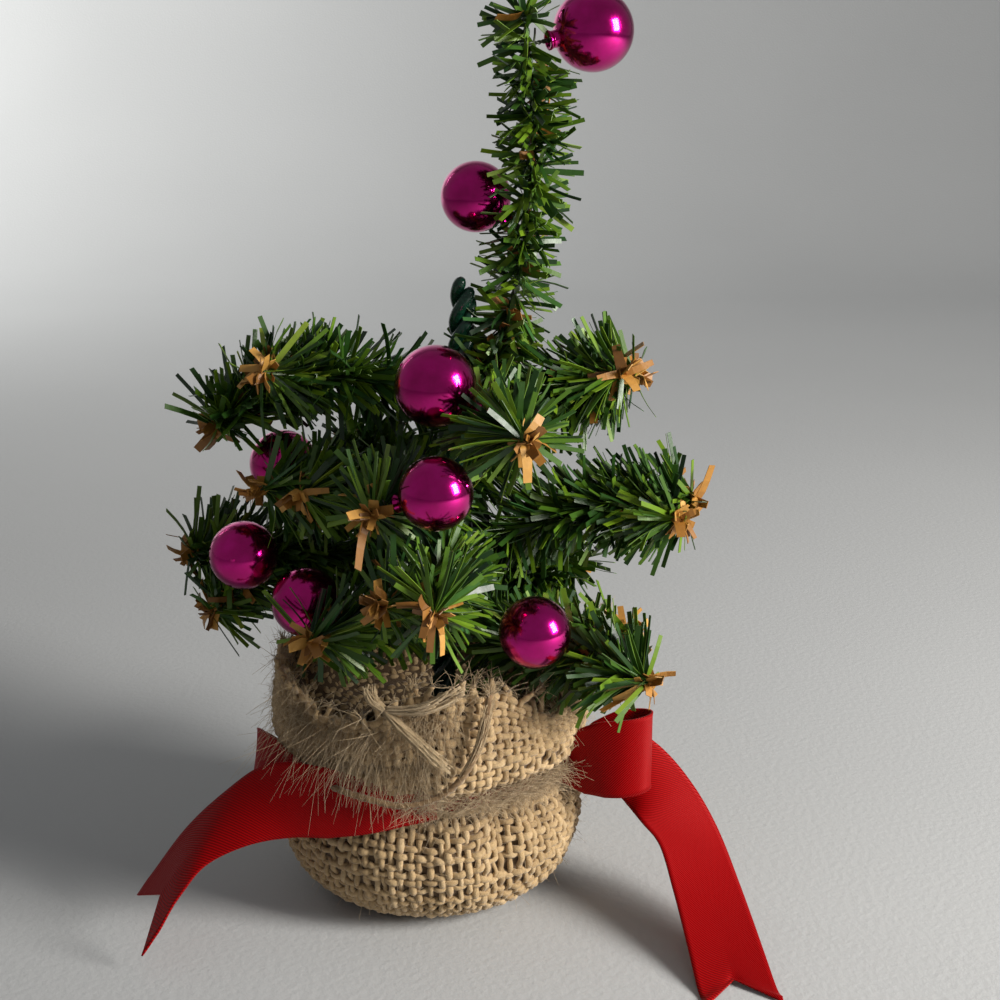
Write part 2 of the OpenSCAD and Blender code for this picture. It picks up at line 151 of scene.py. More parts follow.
def quads(rows, columns, wrap=True, ring=False):
    """Faces of a grid of points laid out row by row; wrap joins the ends of each row, and
    ring joins the last row to the first."""
    faces = []
    for i in range(rows if ring else rows - 1):
        here, above = i * columns, (i + 1) % rows * columns
        for k in range(columns if wrap else columns - 1):
            m = (k + 1) % columns
            faces.append([here + k, here + m, above + m, above + k])
    return faces


def two_sided(faces, shift):
    """The faces, and the same faces turned over on the points that lie shift further on."""
    faces = np.array(faces)
    return np.concatenate([faces, faces[:, ::-1] + shift]).tolist()


def unit(v):
    v = np.asarray(v, dtype=float)
    return v / np.maximum(np.linalg.norm(v, axis=-1, keepdims=True), 1e-12)


def curve_through(points, parts):
    """Catmull-Rom curve through the points, with parts steps between each pair."""
    p = np.asarray(points, dtype=float)
    p = np.concatenate([2 * p[:1] - p[1:2], p, 2 * p[-1:] - p[-2:-1]])
    out = []
    for i in range(1, len(p) - 2):
        a, b, c, d = p[i - 1 : i + 3]
        for t in np.arange(parts) / parts:
            out.append(0.5 * (2 * b + (c - a) * t + (2 * a - 5 * b + 4 * c - d) * t**2
                              + (3 * b - a - 3 * c + d) * t**3))
    out.append(p[-2])
    return np.array(out)


def distances(path):
    """Distance of each point along a path."""
    return np.concatenate([[0], np.cumsum(np.linalg.norm(np.diff(path, axis=0), axis=1))])


def length_of(path):
    return float(distances(path)[-1])


def travel_frames(path, closed=False):
    """Tangent and two normals along a path, carried along without twisting."""
    if closed:
        tangent = unit(np.roll(path, -1, 0) - np.roll(path, 1, 0))
    else:
        tangent = unit(np.gradient(path, axis=0))
    seed = UP if abs(tangent[0] @ UP) < 0.9 else np.array([1.0, 0, 0])
    first = unit(np.cross(tangent[0], seed))
    normals = [first]
    for t in tangent[1:]:
        n = normals[-1] - t * (normals[-1] @ t)
        normals.append(unit(n))
    normals = np.array(normals)
    return tangent, normals, np.cross(tangent, normals)


def tube(path, radius, sides=6, closed=False, flat=1.0, lobes=0, lobe_depth=0.0, twist=0.0):
    """Points and faces of a tube along a path; lobes and twist make it look plied."""
    path = np.asarray(path, dtype=float)
    _, normal, other = travel_frames(path, closed)
    radius = np.broadcast_to(radius, (len(path),))
    along = distances(path)
    rings = []
    angle = np.arange(sides) * 2 * np.pi / sides
    for i, centre in enumerate(path):
        r = radius[i] * (1 + lobe_depth * np.cos(lobes * (angle - twist * along[i])))
        rings.append(centre + np.outer(r * np.cos(angle), normal[i])
                     + np.outer(r * flat * np.sin(angle), other[i]))
    faces = quads(len(path), sides, ring=closed)
    if not closed:
        last = (len(path) - 1) * sides
        faces += [list(range(sides))[::-1], list(range(last, last + sides))]
    return np.concatenate(rings), faces


def helix_about(path, radius, pitch, phase):
    """A strand wound round a path."""
    _, normal, other = travel_frames(path)
    angle = 2 * np.pi * distances(path) / pitch + phase
    return path + radius * (normal * np.cos(angle)[:, None] + other * np.sin(angle)[:, None])


def resample(path, step):
    along = distances(path)
    count = max(2, int(round(along[-1] / step)) + 1)
    at = np.linspace(0, along[-1], count)
    return np.stack([np.interp(at, along, path[:, k]) for k in range(3)], axis=1)


# ---------------------------------------------------------------- materials

# sockets of the Mix node that carry colours
COLOUR_A, COLOUR_B, MIXED_COLOUR = 6, 7, 2


class Paint:
    """A Principled material and the nodes that feed it."""

    def __init__(self, name):
        self.material = bpy.data.materials.new(name)
        self.material.use_nodes = True
        self.nodes = self.material.node_tree.nodes
        self.link = self.material.node_tree.links.new
        self.shader = self.nodes["Principled BSDF"]

    def add(self, kind, values, **settings):
        node = self.nodes.new(kind)
        for key, value in settings.items():
            setattr(node, key, value)
        self.feed(node, values)
        return node

    def feed(self, node, values):
        """Links an output to each input named, or sets its constant."""
        for key, value in values.items():
            if isinstance(value, bpy.types.NodeSocket):
                self.link(value, node.inputs[key])
            else:
                node.inputs[key].default_value = value

    def surface(self, **values):
        self.feed(self.shader, {key.replace("_", " "): v for key, v in values.items()})

    def attribute(self, name, output="Fac"):
        return self.add("ShaderNodeAttribute", {}, attribute_name=name).outputs[output]

    def noise(self, scale, detail=4.0, roughness=0.55):
        place = self.add("ShaderNodeTexCoord", {}).outputs["Object"]
        return self.add("ShaderNodeTexNoise", {"Scale": scale, "Detail": detail, "Vector": place,
                                               "Roughness": roughness}).outputs["Fac"]

    def ramp(self, fac, stops):
        node = self.add("ShaderNodeValToRGB", {"Fac": fac})
        elements = node.color_ramp.elements
        while len(elements) < len(stops):
            elements.new(0.5)
        for element, (place, colour) in zip(elements, stops):
            element.position, element.color = place, (*colour, 1)
        return node.outputs["Color"]

    def span(self, value, low, high):
        return self.add("ShaderNodeMapRange", {"Value": value, "To Min": low,
                                               "To Max": high}).outputs["Result"]

    def mix(self, fac, a, b):
        a, b = ((*c, 1) if isinstance(c, tuple) else c for c in (a, b))
        values = {"Factor": fac, COLOUR_A: a, COLOUR_B: b}
        return self.add("ShaderNodeMix", values, data_type="RGBA").outputs[MIXED_COLOUR]

    def bump(self, height, strength, distance):
        node = self.add("ShaderNodeBump", {"Height": height, "Strength": strength,
                                           "Distance": distance})
        self.link(node.outputs["Normal"], self.shader.inputs["Normal"])


def needle_material():
    """Glossy PVC film: every strip has its own green, with faint streaks."""
    paint = Paint("needle_film")
    strip = paint.ramp(paint.attribute("tone"), [
        (0.0, (0.004, 0.020, 0.006)), (0.3, (0.022, 0.072, 0.008)),
        (0.55, (0.080, 0.165, 0.008)), (0.75, (0.180, 0.300, 0.012)),
        (0.9, (0.030, 0.120, 0.026)), (1.0, (0.340, 0.440, 0.030)),
    ])
    mottle = paint.noise(420)
    colour = paint.mix(paint.span(mottle, 0.0, 0.45), strip, (0.010, 0.036, 0.004))
    paint.surface(Base_Color=colour, Roughness=paint.span(mottle, 0.26, 0.5),
                  Specular_IOR_Level=0.4)
    paint.bump(paint.noise(1500), 0.15, 0.0002)
    return paint.material


def tan_material():
    """Dry gold-brown leaf strips near the tips."""
    paint = Paint("tan_leaf")
    strip = paint.ramp(paint.attribute("tone"), [
        (0.0, (0.16, 0.064, 0.010)), (0.5, (0.42, 0.18, 0.022)), (1.0, (0.64, 0.34, 0.070)),
    ])
    grain = paint.noise(700)
    colour = paint.mix(paint.span(grain, 0.0, 0.5), strip, (0.16, 0.07, 0.02))
    paint.surface(Base_Color=colour, Roughness=0.5)
    paint.bump(grain, 0.3, 0.0003)
    return paint.material


def wire_material(name, dark, light, roughness):
    """Coated wire, with small scuffs."""
    paint = Paint(name)
    scuff = paint.noise(900)
    paint.surface(Base_Color=paint.ramp(scuff, [(0.35, dark), (0.75, light)]),
                  Roughness=paint.span(scuff, roughness, roughness + 0.2))
    paint.bump(scuff, 0.2, 0.0002)
    return paint.material


def ball_material():
    """Thin glass silvered inside and lacquered magenta, with faint mottling and dust."""
    paint = Paint("magenta_mirror_glass")
    colour = paint.ramp(paint.noise(160, 5), [
        (0.3, (0.42, 0.002, 0.14)), (0.55, (0.58, 0.004, 0.21)), (0.8, (0.72, 0.010, 0.30)),
    ])
    dust = paint.noise(1400, 6)
    paint.surface(Base_Color=colour, Roughness=paint.span(dust, 0.10, 0.22), Metallic=1.0,
                  Coat_Weight=0.35, Coat_Roughness=0.05)
    paint.bump(paint.noise(60), 0.06, 0.0004)
    return paint.material


def jute_material(name, dark, middle, light):
    """Jute: yarns that differ from each other, with fibres along them."""
    paint = Paint(name)
    fibre, patch = paint.noise(2200, 6, 0.7), paint.noise(90, 3)
    yarn = paint.ramp(paint.attribute("tone"), [(0.0, dark), (0.5, middle), (1.0, light)])
    streak = paint.ramp(fibre, [(0.3, dark), (0.55, middle), (0.8, light)])
    colour = paint.mix(0.5, yarn, streak)
    colour = paint.mix(paint.span(patch, 0.0, 0.25), colour, dark)
    paint.surface(Base_Color=colour, Roughness=0.85, Sheen_Weight=0.25, Sheen_Roughness=0.5,
                  Specular_IOR_Level=0.25)
    paint.bump(fibre, 0.6, 0.0004)
    return paint.material


def satin_material():
    """Red satin: fine twill ribs and a soft sheen that follows the cloth."""
    paint = Paint("red_satin")
    turned = paint.add("ShaderNodeMapping", {"Vector": paint.attribute("cloth", "Vector"),
                                             "Rotation": (0, 0, math.radians(38))})
    rib = paint.add("ShaderNodeTexWave", {
        "Vector": turned.outputs["Vector"], "Scale": 620.0, "Distortion": 0.6, "Detail": 1.0,
        "Detail Scale": 2.0}).outputs["Fac"]
    colour = paint.ramp(rib, [(0.0, (0.12, 0.0004, 0.001)), (1.0, (0.37, 0.0008, 0.002))])
    broad = paint.span(paint.noise(70, 3), 0.0, 0.4)
    paint.surface(Base_Color=paint.mix(broad, colour, (0.17, 0.0005, 0.001)),
                  Roughness=paint.span(rib, 0.42, 0.55), Specular_Tint=(1.0, 0.10, 0.10, 1),
                  Sheen_Weight=0.15, Sheen_Roughness=0.35, Sheen_Tint=(1.0, 0.08, 0.08, 1))
    paint.bump(rib, 0.6, 0.00015)
    return paint.material


def cement_material():
    paint = Paint("cement")
    grain = paint.noise(500, 8, 0.7)
    stops = [(0.3, (0.30, 0.28, 0.26)), (0.7, (0.58, 0.56, 0.52))]
    paint.surface(Base_Color=paint.ramp(grain, stops), Roughness=0.9)
    paint.bump(grain, 0.7, 0.0008)
    return paint.material


def backdrop_material():
    paint = Paint("pale_floor")
    stops = [(0.3, (0.44, 0.447, 0.45)), (0.7, (0.47, 0.477, 0.48))]
    paint.surface(Base_Color=paint.ramp(paint.noise(3, 2), stops), Roughness=0.8)
    paint.bump(paint.noise(500), 0.3, 0.0006)
    return paint.material


def make_backdrop():
    """A pale floor that curves up into a wall behind the tree."""
    half, back, curve = 1.6, 0.9, 0.5
    angles = np.linspace(0, np.pi / 2, 16)
    profile = [(-1.6, 0.0), (back, 0.0)]
    profile += [(back + curve * math.sin(a), curve * (1 - math.cos(a))) for a in angles[1:]]
    profile.append((back + curve, 2.0))
    points = [(x, y, z) for y, z in profile for x in (-half, half)]
    faces = [[2 * i, 2 * i + 1, 2 * i + 3, 2 * i + 2] for i in range(len(profile) - 1)]
    add_mesh("backdrop", points, faces, backdrop_material(), smooth=True)


make_camera()
make_light()
make_backdrop()
NEEDLE = needle_material()
TAN = tan_material()
BRANCH_WIRE = wire_material("green_wire", (0.008, 0.030, 0.010), (0.05, 0.10, 0.03), 0.4)
TRUNK_WIRE = wire_material("trunk_coating", (0.002, 0.022, 0.012), (0.008, 0.06, 0.03), 0.15)
HANGER_WIRE = wire_material("hanger_wire", (0.02, 0.03, 0.015), (0.08, 0.09, 0.05), 0.35)
MIRROR = ball_material()
BURLAP = jute_material("burlap_yarn", (0.23, 0.14, 0.06), (0.50, 0.35, 0.18),
                       (0.74, 0.56, 0.34))
# painted shade: the dark burlap colour of the under-cloth stands for the shadow in the gaps of the
# weave
PAINTED_SHADE_CLOTH = jute_material("burlap_shade", (0.06, 0.035, 0.018), (0.12, 0.075, 0.038),
                       (0.20, 0.13, 0.07))
TWINE = jute_material("jute_twine", (0.10, 0.055, 0.025), (0.25, 0.155, 0.075), (0.40, 0.27, 0.14))
FIBRE = jute_material("jute_fibre", (0.26, 0.17, 0.09), (0.50, 0.37, 0.21), (0.72, 0.58, 0.38))
SATIN = satin_material()
CEMENT = cement_material()


# ---------------------------------------------------------------- twine

TWINE_ROUTE = np.array([
    [-18.5, -26.2, 38.7], [-22, -31, 39.6], [-23.6, -34.5, 41.2], [-22.5, -38, 43],
    [-18.5, -41.6, 43.3], [-12, -43.2, 42], [-5, -44, 41], [3, -44, 43],
    [9, -44, 48], [13, -43, 55], [15, -42, 62], [16, -41, 69],
]) * MM
TWINE_D = 1.6 * MM


def fibres(bunch, rng, starts, directions, length, droop, radius=0.05 * MM):
    """Fine stray fibres that bend as they go."""
    for start, direction in zip(starts, directions):
        bend = rng.normal(0, 0.5, 3)
        size = length * rng.uniform(0.4, 1.3)
        t = np.linspace(0, 1, 5)[:, None]
        path = start + unit(direction) * size * t + bend * size * 0.6 * t**2
        path = path - UP * droop * size * t**2
        points, faces = tube(path, radius * np.linspace(1, 0.5, 5), 3)
        bunch.add(points, faces, rng.uniform(0, 1))


def make_twine():
    rng = np.random.default_rng(11)
    fine = curve_through(TWINE_ROUTE, 12)
    points, faces = tube(fine, TWINE_D / 2, 14, lobes=2, lobe_depth=0.13, twist=1500)
    loose = add_mesh("twine_end", points, faces, TWINE, smooth=True)
    point_attribute(loose, "tone", rng.uniform(0.3, 0.7, len(points)))
    fuzz = Bunch()
    picks = rng.integers(0, len(fine), 150)
    fibres(fuzz, rng, fine[picks], rng.normal(0, 1, (150, 3)), 2.2 * MM, 0.2)
    end_direction = unit(fine[-1] - fine[-3])
    spray = end_direction + rng.normal(0, 0.45, (46, 3))
    fibres(fuzz, rng, np.repeat(fine[-1:], 46, 0) - end_direction * MM, spray, 6 * MM, 0.3,
           0.08 * MM)
    fluff = fuzz.build("twine_fluff", FIBRE)
    attach(loose, "base", "twine", "twine_loose_end")
    attach(fluff, "base", "twine")


def make_neck_twine():
    low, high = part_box("neck_twine")
    radius = (high[0] - low[0]) / 2 - TWINE_D / 2
    bunch = Bunch()
    angle = np.linspace(0, 2 * np.pi, 150, endpoint=False)
    for z in (low[2] + TWINE_D / 2, high[2] - TWINE_D / 2):
        ring = np.stack([radius * np.cos(angle), radius * np.sin(angle),
                         z + 0.15 * MM * np.sin(3 * angle)], axis=1)
        points, faces = tube(ring, TWINE_D / 2, 12, closed=True, lobes=2, lobe_depth=0.13,
                             twist=2 * np.pi * 40 / (2 * np.pi * radius))
        bunch.add(points, faces)
    attach(bunch.build("neck_twine_turns", TWINE), "base", "twine", "neck_twine")


make_twine()
make_neck_twine()


# ---------------------------------------------------------------- branch wires from the frame

WIRE_R = 0.8 * MM


def node_points(name):
    mesh = frame["nodes"][name].data
    flat = np.empty(len(mesh.vertices) * 3)
    mesh.vertices.foreach_get("co", flat)
    return flat.reshape(-1, 3)


class Bend:
    """The round bend of one branch wire, found from its CAD tube: a root, a bearing, the rise
    at the root, the curvature and the length."""

    def __init__(self, node, joint):
        info = JOINTS[joint]
        self.root = np.array(info["pos_m"])
        self.side = unit(-np.array(info["axis"]))
        self.out = np.cross(self.side, UP)
        local = self.local(node_points(node))
        flat = local[(abs(local[:, 2]) < WIRE_R * 1.03) & (local[:, 0] > 2.5 * MM)]
        self.rise, self.curve = self.fit(flat[:, :2])
        away, along = self.measure(flat[:, :2])
        on_wire = away < WIRE_R * 1.06
        self.length = float(along[on_wire].max())
        self.twig = self.find_twig(local)

    def local(self, points):
        v = points - self.root
        return np.stack([v @ self.out, v[:, 2], v @ self.side], axis=1)

    def fit(self, flat):
        """Rise (radians) and signed curvature of the circle from the root that fits best."""
        best = (1e9, 0.0, 0.01)
        rises, curves = np.radians(np.arange(-10, 85, 2)), np.arange(-40, 41) * 0.7 + 0.35
        for refine in range(3):
            for rise in rises:
                for curve in curves:
                    centre = np.array([math.sin(rise), -math.cos(rise)]) / curve
                    away = np.linalg.norm(flat - centre, axis=1) - abs(1 / curve)
                    score = np.minimum(away**2, (1.6 * WIRE_R) ** 2).mean()
                    if score < best[0]:
                        best = (score, rise, curve)
            spread = (math.radians(2), 0.7) if refine == 0 else (math.radians(0.4), 0.14)
            rises = best[1] + np.linspace(-1, 1, 11) * spread[0]
            curves = best[2] + np.linspace(-1, 1, 11) * spread[1]
        return best[1], best[2]

    def measure(self, flat):
        """Distance from the wire's middle line, and place along it."""
        centre = np.array([math.sin(self.rise), -math.cos(self.rise)]) / self.curve
        v = (flat - centre) * np.sign(self.curve)
        away = abs(np.linalg.norm(v, axis=1) - abs(1 / self.curve))
        angle = np.arctan2(-v[:, 0], v[:, 1])
        turn = (self.rise - angle + np.pi) % (2 * np.pi) - np.pi
        return away, turn / self.curve

    def find_twig(self, local):
        """Start and end of the straight side twig, or None."""
        away, _ = self.measure(local[:, :2])
        off = np.hypot(away, local[:, 2])
        beside = (off > 2.2 * WIRE_R) & (local[:, 0] > 6 * MM)
        rest = local[beside]
        if len(rest) < 8:
            return None
        far = rest[np.argmax(off[beside])]
        tip = rest[np.linalg.norm(rest - far, axis=1) < 2.2 * WIRE_R].mean(axis=0)
        middle = rest[np.linalg.norm(rest - tip, axis=1) > 2.5 * WIRE_R]
        if len(middle) < 8:
            start = self.flat_at(np.array([self.length * 0.55]))[0]
        else:
            heading = unit(tip - middle.mean(axis=0))
            places = np.linspace(0.2, 0.95, 151) * self.length
            line = self.flat_at(places)
            v = line - tip
            gap = np.linalg.norm(v - np.outer(v @ heading, heading), axis=1)
            start = line[np.argmin(gap)]
        return self.world(start), self.world(tip)

    def flat_at(self, s):
        e = self.rise - self.curve * s
        x = (math.sin(self.rise) - np.sin(e)) / self.curve
        z = (np.cos(e) - math.cos(self.rise)) / self.curve
        return np.stack([x, z, np.zeros_like(s)], axis=1)

    def world(self, local):
        local = np.atleast_2d(local)
        return (self.root + np.outer(local[:, 0], self.out) + np.outer(local[:, 1], UP)
                + np.outer(local[:, 2], self.side)).squeeze()

    def path(self, step=1 * MM):
        return self.world(self.flat_at(np.arange(0, self.length + step / 2, step)))


BRANCHES = {n[len("branch_wire_"):]: "branch_" + n[len("branch_wire_"):]
            for n in frame["nodes"] if n.startswith("branch_wire_")}
LINES = {body: Bend("branch_wire_" + name, body + "_bend") for name, body in BRANCHES.items()}
LINES["garland"] = Bend("garland_wire", "garland_bend")


# ---------------------------------------------------------------- balls

BALL_NAMES = sorted(n[len("glass_ball_"):] for n in frame["nodes"] if n.startswith("glass_ball_"))


def ball_centre(name):
    """Centre, radius and outward direction of a ball, from its CAD node and its hinge."""
    points = node_points("glass_ball_" + name)
    ring = np.array(JOINTS["ball_" + name + "_swing"]["pos_m"])
    far = points[np.argmax(np.linalg.norm(points - ring, axis=1))]
    outwards = unit(points.mean(axis=0) - ring)
    # the sphere is what lies furthest out: least squares for its centre
    reach = (points - ring) @ outwards
    shell = points[reach > np.percentile(reach, 40)]
    outer = shell[np.linalg.norm(shell - points.mean(axis=0), axis=1)
                  > 0.5 * np.linalg.norm(far - points.mean(axis=0))]
    a = np.c_[2 * outer, np.ones(len(outer))]
    solved = np.linalg.lstsq(a, (outer**2).sum(axis=1), rcond=None)[0]
    centre = solved[:3]
    radius = np.linalg.norm(points - centre, axis=1)
    radius = np.percentile(radius[(points - centre) @ unit(centre - ring) > 0], 99)
    return centre, float(radius), unit(centre - ring), ring


BALLS = {name: ball_centre(name) for name in BALL_NAMES}


def lathe(profile, sides):
    """Surface of revolution about z; the profile starts and ends on the axis."""
    points = [(0, 0, profile[0][1])]
    rows = profile[1:-1]
    for r, z in rows:
        for k in range(sides):
            a = 2 * np.pi * k / sides
            points.append((r * math.cos(a), r * math.sin(a), z))
    points.append((0, 0, profile[-1][1]))
    faces = (np.array(quads(len(rows), sides)) + 1).tolist()
    last = 1 + (len(rows) - 1) * sides
    for k in range(sides):
        m = (k + 1) % sides
        faces += [[0, 1 + m, 1 + k], [last + k, last + m, len(points) - 1]]
    return np.array(points), faces


def facing(direction):
    """Rotation matrix whose z column points along direction."""
    z = unit(direction)
    x = unit(np.cross(UP if abs(z @ UP) < 0.95 else np.array([1.0, 0, 0]), z))
    return np.stack([x, np.cross(z, x), z], axis=1)


def make_ball(name, seed):
    centre, radius, outwards, _ = BALLS[name]
    neck_r, lip_r, neck_len = 2.1 * MM, 2.35 * MM, 2.2 * MM
    start = math.asin(neck_r / radius)
    rim = -radius - neck_len
    profile = [(0, rim + 1.2 * MM), (neck_r * 0.8, rim + 1.2 * MM), (neck_r * 0.82, rim),
               (lip_r, rim), (lip_r, rim + 0.5 * MM), (neck_r, rim + 0.9 * MM),
               (neck_r * 0.98, -radius + 0.1 * MM)]
    for a in np.linspace(start * 1.12, np.pi - 0.16, 40):
        profile.append((radius * math.sin(a), -radius * math.cos(a)))
    pip = 0.35 * MM
    profile += [(radius * 0.09, radius * 0.997), (0.5 * MM, radius),
                (pip, radius + pip * 0.6), (0, radius + pip * 0.8)]
    points, faces = lathe(profile, 64)
    points = points @ facing(outwards).T + centre
    ball = add_mesh("ball_" + name, points, faces, MIRROR, smooth=True)
    attach(ball, "ball_" + name, "ball_glass", "glass_ball_" + name)
    make_hanger(name, seed)


def make_hanger(name, seed):
    """A thin pair of wires: two turns round the branch, then twisted out to the ball's neck."""
    rng = np.random.default_rng(seed)
    centre, radius, outwards, ring = BALLS[name]
    axis = unit(np.array(JOINTS["ball_" + name + "_swing"]["axis"]))
    across = unit(outwards - axis * (outwards @ axis))
    other = np.cross(axis, across)
    wire, loop_r = 0.28 * MM, 1.35 * MM
    bunch = Bunch()
    turn = np.linspace(0, 4 * np.pi, 60)
    coil = (ring + loop_r * (np.outer(np.cos(turn), across) + np.outer(np.sin(turn), other))
            + np.outer((turn / (2 * np.pi) - 1) * 0.62 * MM, axis))
    bunch.add(*tube(coil, wire, 6), rng.uniform(0.3, 0.7))
    reach = np.linalg.norm(centre - ring) - radius - 1.2 * MM
    t = np.linspace(0, 1, 40)
    sway = 0.5 * MM * np.sin(np.pi * t)
    stem = ring + np.outer(loop_r + (reach - loop_r) * t, outwards) + np.outer(sway, other)
    for phase in (0, np.pi):
        strand = helix_about(stem, 0.27 * MM, 2.4 * MM, phase)
        bunch.add(*tube(strand, wire, 6), rng.uniform(0.3, 0.7))
    tail = ring + loop_r * across
    curl = tail + np.outer(np.linspace(0, 4 * MM, 14), unit(axis + across * 0.5 + other * 0.3))
    curl = curl + np.outer(1.2 * MM * np.linspace(0, 1, 14) ** 2, other)
    bunch.add(*tube(curl, wire, 6), 0.5)
    hanger = bunch.build("hanger_" + name, HANGER_WIRE)
    attach(hanger, "ball_" + name, "hanger_wire", "ball_hanger_" + name)


for number, name in enumerate(BALL_NAMES):
    make_ball(name, 100 + number)


def swept(name):
    """Places of a ball's centre, at rest and over its swing."""
    info = JOINTS["ball_" + name + "_swing"]
    axis, arm = unit(np.array(info["axis"])), BALLS[name][0] - BALLS[name][3]
    spots = []
    for angle in np.radians([0, *np.linspace(*info["range_deg"], 5)]):
        turned = (arm * math.cos(angle) + np.cross(axis, arm) * math.sin(angle)
                  + axis * (axis @ arm) * (1 - math.cos(angle)))
        spots.append(BALLS[name][3] + turned)
    return spots


BALL_SPOTS = np.concatenate([swept(n) for n in BALL_NAMES])
BALL_RADII = np.concatenate([np.full(6, BALLS[n][1]) for n in BALL_NAMES])


# ---------------------------------------------------------------- needles and branch wires

CORNERS = 4
CORNER_BEARING = math.radians(-82)


def rim_height(theta):
    """Height of the raw edge: the corners of the square stand up, most of all in front."""
    point = np.abs(np.cos(CORNERS / 2 * (theta - CORNER_BEARING)))
    front = 0.5 - 0.5 * np.sin(theta)
    return (54 + 4 * front + 10 * point**1.5 + 1.3 * np.sin(5 * theta + 1)
            + 0.8 * np.sin(11 * theta)) * MM


def strips(rng, roots, heading, length, width, thickness, curl, tip_width=0.9):
    """Flat closed strips: points (n, stations * 4, 3) and the faces of one strip."""
    n, stations = len(roots), 5
    t = np.linspace(0, 1, stations)
    random = rng.normal(0, 1, (n, 3))
    across = unit(np.cross(heading, random))
    bend = np.cross(heading, across)
    length = np.broadcast_to(length, (n,))[:, None, None]
    curl = np.broadcast_to(curl, (n,))[:, None, None]
    middle = (roots[:, None] + heading[:, None] * length * t[None, :, None]
              + bend[:, None] * length * curl * (t**2)[None, :, None])
    normal = unit(bend[:, None] - 2 * curl * heading[:, None] * t[None, :, None])
    half = np.broadcast_to(width, (n,))[:, None, None] / 2
    taper = np.interp(t, [0, 0.25, 1], [0.55, 1, tip_width])[None, :, None]
    side = across[:, None] * half * taper
    up = normal * thickness / 2
    corners = np.stack([middle - side - up, middle + side - up,
                        middle + side + up, middle - side + up], axis=2)
    faces = quads(stations, 4) + [[3, 2, 1, 0], [stations * 4 - 4 + k for k in range(4)]]
    return corners.reshape(n, stations * 4, 3), np.array(faces), middle


BALL_MARGIN = 0.35 * MM
CLOTH_INSIDE, CLOTH_OUTSIDE = 34 * MM, 43.5 * MM
LOWEST_NEEDLE = 46 * MM


def clear(middle):
    """True for each strip that stays out of every ball and of the bag's standing cloth."""
    away = np.linalg.norm(middle[:, :, None] - BALL_SPOTS[None, None], axis=3)
    off_balls = (away > BALL_RADII + BALL_MARGIN).all(axis=(1, 2))
    x, y, z = middle[..., 0], middle[..., 1], middle[..., 2]
    radius = np.hypot(x, y)
    in_cloth = ((radius > CLOTH_INSIDE) & (radius < CLOTH_OUTSIDE)
                & (z < rim_height(np.arctan2(y, x)) + MM))
    return off_balls & ~in_cloth.any(axis=1) & (z > LOWEST_NEEDLE).all(axis=1)


class Tuft:
    """Needles and tan leaves gathered for one branch."""

    def __init__(self, seed):
        self.rng = np.random.default_rng(seed)
        self.green, self.tan = [], []

    def along(self, path, density, lean, lean_spread, length, start, tips=True):
        """Strips all along a wire, leaning back from the tip by lean degrees off the wire."""
        rng = self.rng
        total = length_of(path)
        count = int(1.15 * density * (total - start) / MM)
        place = start + (total - start) * rng.uniform(0, 1, count) ** 0.8
        self.put(path, place, rng.normal(lean, lean_spread, count), length)
        if tips:
            burst = 46
            place = total - rng.uniform(0, 7 * MM, burst)
            self.put(path, place, rng.uniform(22, 88, burst), length * rng.uniform(0.7, 1.1, burst))
            self.leaves(path, total - rng.uniform(-1 * MM, 3 * MM, 20), (85, 170))
            self.leaves(path, total - rng.uniform(3 * MM, 16 * MM, 14), (30, 110))

    def spokes(self, path, place, lean):
        rng = self.rng
        along = distances(path)
        centre = np.stack([np.interp(place, along, path[:, k]) for k in range(3)], axis=1)
        tangent, normal, other = travel_frames(path)
        near = np.clip(np.searchsorted(along, place), 0, len(path) - 1)
        angle = rng.uniform(0, 2 * np.pi, len(place))[:, None]
        radial = normal[near] * np.cos(angle) + other[near] * np.sin(angle)
        lean = np.radians(lean)[:, None]
        heading = unit(radial * np.sin(lean) - tangent[near] * np.cos(lean))
        return centre + radial * 0.5 * MM, heading

    def put(self, path, place, lean, length):
        rng = self.rng
        roots, heading = self.spokes(path, place, np.clip(lean, 14, 170))
        n = len(place)
        size = length * rng.uniform(0.72, 1.12, n)
        points, faces, middle = strips(rng, roots, heading, size,
                                       rng.uniform(0.95, 1.55, n) * MM, 0.14 * MM,
                                       rng.normal(0, 0.13, n))
        keep = clear(middle)
        tone = np.clip(rng.beta(1.7, 1.9, n) + rng.normal(0, 0.06, n), 0, 1)
        self.green.append((points[keep], tone[keep], faces))

    def leaves(self, path, place, lean=(35, 150)):
        rng = self.rng
        roots, heading = self.spokes(path, place, rng.uniform(*lean, len(place)))
        n = len(place)
        points, faces, middle = strips(rng, roots, heading, rng.uniform(2.6, 6, n) * MM,
                                       rng.uniform(1.7, 3, n) * MM, 0.16 * MM,
                                       rng.normal(0, 0.8, n), tip_width=0.75)
        keep = clear(middle)
        self.tan.append((points[keep], rng.uniform(0, 1, n)[keep], faces))

    def build(self, group, name, material):
        points = np.concatenate([g[0] for g in group])
        tones = np.concatenate([g[1] for g in group])
        size = points.shape[1]
        faces = (np.arange(len(points))[:, None, None] * size + group[0][2][None]).reshape(-1, 4)
        obj = add_mesh(name, points.reshape(-1, 3), faces, material)
        point_attribute(obj, "tone", np.repeat(tones, size))
        return obj


def twisted_pair(bunch, path, rng, radius=0.42 * MM, pitch=4.2 * MM):
    fine = resample(path, 0.55 * MM)
    for phase in (0, np.pi):
        strand = helix_about(fine, radius, pitch, phase)
        bunch.add(*tube(strand, radius * 1.02, 6), rng.uniform(0.2, 0.8))


